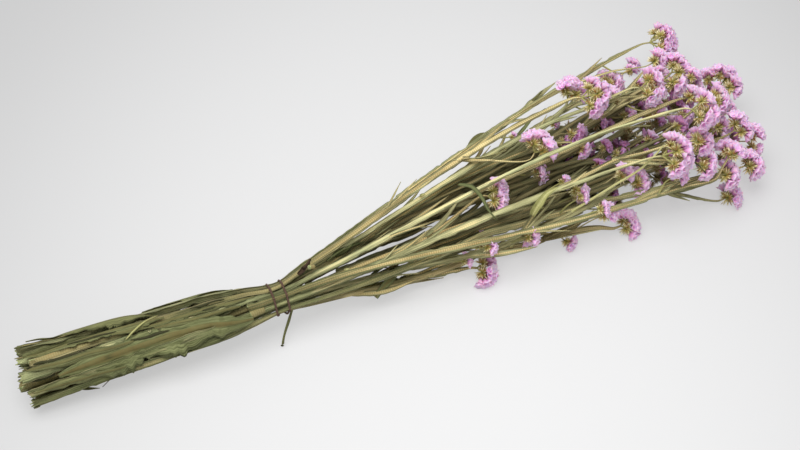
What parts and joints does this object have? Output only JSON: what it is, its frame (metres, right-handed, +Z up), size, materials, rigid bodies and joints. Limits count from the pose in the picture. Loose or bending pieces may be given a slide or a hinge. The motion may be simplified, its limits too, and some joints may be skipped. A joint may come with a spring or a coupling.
{
  "type": "bunch of dried statice",
  "caption": "Bunch of dried pink statice lying down: winged stems held by an elastic wound twice, fanning out to forked sprays of small papery flower heads.",
  "frame": {"origin": "the middle of the base of the box round the whole bunch, on the surface it lies on", "axes": "+X along the bunch from the cut ends to the flowers, +Y across it, away from the side that shows, +Z up from the surface"},
  "size_m": [0.6328, 0.1878, 0.0876],
  "materials": {
    "stem": "dry, ribbed, matt",
    "flower": "thin papery calyx, matt",
    "band": "brown elastic, dull",
    "leaf": "dry leaf, matt"
  },
  "bodies": {
    "root": {"stem_01": "stem", "stem_02": "stem", "stem_03": "stem", "stem_04": "stem", "stem_05": "stem", "stem_06": "stem", "stem_07": "stem", "stem_08": "stem", "stem_09": "stem", "stem_10": "stem", "stem_11": "stem", "stem_12": "stem", "stem_13": "stem", "stem_14": "stem", "stem_15": "stem", "stem_16": "stem", "stem_17": "stem", "stem_18": "stem", "stem_19": "stem", "flower_head_A": "flower", "flower_head_B": "flower", "flower_head_C": "flower", "flower_head_D": "flower", "flower_head_E": "flower", "flower_head_F": "flower", "flower_head_G": "flower", "flower_head_H": "flower", "flower_head_I": "flower", "flower_head_J": "flower", "flower_head_K": "flower", "flower_head_L": "flower", "flower_head_M": "flower", "flower_head_N": "flower", "flower_head_O": "flower", "flower_head_P": "flower", "flower_head_Q": "flower", "flower_head_R": "flower", "flower_head_S": "flower", "flower_head_T": "flower", "flower_head_U": "flower", "flower_head_V": "flower", "flower_head_W": "flower", "flower_head_X": "flower", "flower_head_Y": "flower", "flower_head_Z": "flower", "flower_head_AA": "flower", "flower_head_AB": "flower", "flower_head_AC": "flower", "flower_head_AD": "flower", "flower_head_AE": "flower", "flower_head_AF": "flower", "flower_head_AG": "flower", "flower_head_AH": "flower", "tie_band": "band", "handle_leaf": "leaf", "hanging_leaf": "leaf"}
  },
  "joints": []
}
